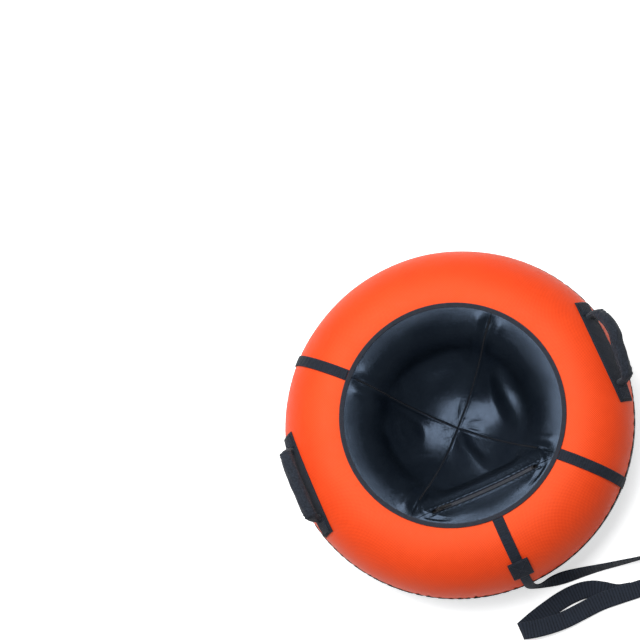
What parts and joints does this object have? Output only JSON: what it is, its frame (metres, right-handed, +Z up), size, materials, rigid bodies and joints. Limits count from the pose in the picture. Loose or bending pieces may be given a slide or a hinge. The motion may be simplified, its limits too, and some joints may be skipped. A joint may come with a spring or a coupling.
{
  "type": "snow tube",
  "caption": "Inflated ring sled in a sewn fabric cover, with a slung vinyl seat, a zip in the seat, side handles and a tow strap with a hand loop.",
  "frame": {"origin": "middle of the base, on the ground", "axes": "+Z up along the ring's axis; the tow strap leaves towards -Y; the handles are at +X and -X"},
  "size_m": [0.8178, 0.9157, 0.2215],
  "materials": {
    "orange_coated_fabric": "woven, coated, slightly glossy",
    "dark_seat_vinyl": "smooth supple vinyl, semi-gloss",
    "black_base_vinyl": "smooth heavy vinyl, semi-gloss",
    "charcoal_binding": "woven tape, matte",
    "navy_webbing": "ribbed webbing, matte",
    "navy_sleeve_cloth": "woven cloth over foam, matte",
    "closed_cell_foam": "matte foam",
    "tube_rubber": "matte",
    "zip_nylon": "matte",
    "painted_zip_metal": "satin",
    "valve_brass": "satin",
    "cap_plastic": "matte"
  },
  "bodies": {
    "tube": {"top_cover_rear_right": "orange_coated_fabric", "top_cover_front_left": "orange_coated_fabric", "bottom_cover": "black_base_vinyl", "rim_binding": "charcoal_binding", "seat_panel_right": "dark_seat_vinyl", "seat_panel_rear": "dark_seat_vinyl", "seat_panel_left": "dark_seat_vinyl", "seat_panel_front": "dark_seat_vinyl", "seat_front_facing": "dark_seat_vinyl", "zip_tape_upper": "zip_nylon", "zip_tape_lower": "zip_nylon", "zip_coil_upper": "zip_nylon", "zip_coil_lower": "zip_nylon", "zip_stop_left": "painted_zip_metal", "zip_stop_right": "painted_zip_metal", "webbing_front_right": "navy_webbing", "webbing_rear_left": "navy_webbing", "tow_anchor_webbing": "navy_webbing", "tow_patch": "navy_webbing", "tow_strap": "navy_webbing", "inner_tube": "tube_rubber", "valve_base": "tube_rubber", "valve_stem": "tube_rubber", "valve_core": "valve_brass", "handle_left_strip": "navy_webbing", "handle_left_tab_front": "navy_webbing", "handle_left_tab_rear": "navy_webbing", "handle_right_strip": "navy_webbing", "handle_right_tab_front": "navy_webbing", "handle_right_tab_rear": "navy_webbing"},
    "handle_left": {"handle_left_webbing": "navy_webbing", "handle_left_foam": "closed_cell_foam", "handle_left_sleeve": "navy_sleeve_cloth"},
    "handle_right": {"handle_right_webbing": "navy_webbing", "handle_right_foam": "closed_cell_foam", "handle_right_sleeve": "navy_sleeve_cloth"},
    "zip_slider": {"zip_slider": "painted_zip_metal"},
    "zip_pull": {"zip_pull": "painted_zip_metal"},
    "valve_cap": {"valve_cap": "cap_plastic"},
    "valve_pin": {"valve_pin": "valve_brass"}
  },
  "joints": [
    {"name": "handle_left_swing", "type": "hinge", "parent": "tube", "child": "handle_left", "pos_m": [-0.37385, 0, 0.17009], "axis": [0, 1, 0], "range_deg": [-90, 22]},
    {"name": "handle_right_swing", "type": "hinge", "parent": "tube", "child": "handle_right", "pos_m": [0.37385, 0, 0.17009], "axis": [0, -1, 0], "range_deg": [-68, 42]},
    {"name": "zip_run", "type": "hinge", "parent": "tube", "child": "zip_slider", "pos_m": [0, -0.1825, 0.52], "axis": [0, -1, 0], "range_deg": [0, 36.6]},
    {"name": "zip_pull_swing", "type": "hinge", "parent": "zip_slider", "child": "zip_pull", "pos_m": [-0.10561, -0.18087, 0.20067], "axis": [0.1277, -0.9135, 0.3862], "range_deg": [0, 140]},
    {"name": "valve_cap_pull", "type": "slide", "parent": "tube", "child": "valve_cap", "axis": [0, 1, 0], "range_m": [0, 0.008]},
    {"name": "valve_pin_press", "type": "slide", "parent": "tube", "child": "valve_pin", "axis": [0, -1, 0], "range_m": [0, 0.0015], "stiffness_N_per_m": 400, "springref_m": -0.002}
  ]
}
